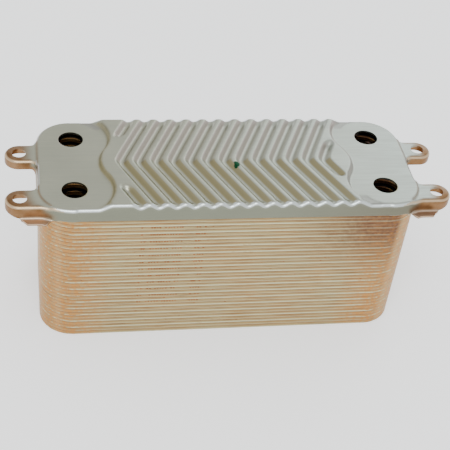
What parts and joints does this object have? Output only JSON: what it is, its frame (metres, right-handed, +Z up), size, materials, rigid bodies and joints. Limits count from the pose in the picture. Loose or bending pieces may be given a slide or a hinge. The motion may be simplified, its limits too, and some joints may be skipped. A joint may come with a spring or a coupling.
{
  "type": "plate heat exchanger",
  "caption": "Brazed plate heat exchanger: nested herringbone plates under a pressed cover with four ports in line-up pairs and four mounting lugs.",
  "frame": {"origin": "middle of the base plane, below the centre of the four ports", "axes": "+X along the length, +Y across the width to the back, +Z up to the ports"},
  "size_m": [0.2192, 0.0731, 0.0847],
  "materials": {
    "front_cover_sheet": "satin pressed sheet with a copper-tinted edge",
    "channel_sheet": "furnace-tinted thin sheet",
    "back_cover_sheet": "satin pressed sheet",
    "copper_braze": null
  },
  "bodies": {
    "root": {"back_cover_plate": "back_cover_sheet", "channel_plate_01": "channel_sheet", "channel_plate_02": "channel_sheet", "channel_plate_03": "channel_sheet", "channel_plate_04": "channel_sheet", "channel_plate_05": "channel_sheet", "channel_plate_06": "channel_sheet", "channel_plate_07": "channel_sheet", "channel_plate_08": "channel_sheet", "channel_plate_09": "channel_sheet", "channel_plate_10": "channel_sheet", "channel_plate_11": "channel_sheet", "channel_plate_12": "channel_sheet", "channel_plate_13": "channel_sheet", "channel_plate_14": "channel_sheet", "channel_plate_15": "channel_sheet", "channel_plate_16": "channel_sheet", "channel_plate_17": "channel_sheet", "channel_plate_18": "channel_sheet", "channel_plate_19": "channel_sheet", "channel_plate_20": "channel_sheet", "channel_plate_21": "channel_sheet", "channel_plate_22": "channel_sheet", "channel_plate_23": "channel_sheet", "channel_plate_24": "channel_sheet", "channel_plate_25": "channel_sheet", "channel_plate_26": "channel_sheet", "channel_plate_27": "channel_sheet", "channel_plate_28": "channel_sheet", "channel_plate_29": "channel_sheet", "channel_plate_30": "channel_sheet", "channel_plate_31": "channel_sheet", "channel_plate_32": "channel_sheet", "channel_plate_33": "channel_sheet", "cover_braze_seam": "copper_braze", "edge_braze_seams": "copper_braze", "front_cover_plate": "front_cover_sheet", "port_beads_back_left": "copper_braze", "port_beads_back_right": "copper_braze", "port_beads_front_left": "copper_braze", "port_beads_front_right": "copper_braze"}
  },
  "joints": []
}
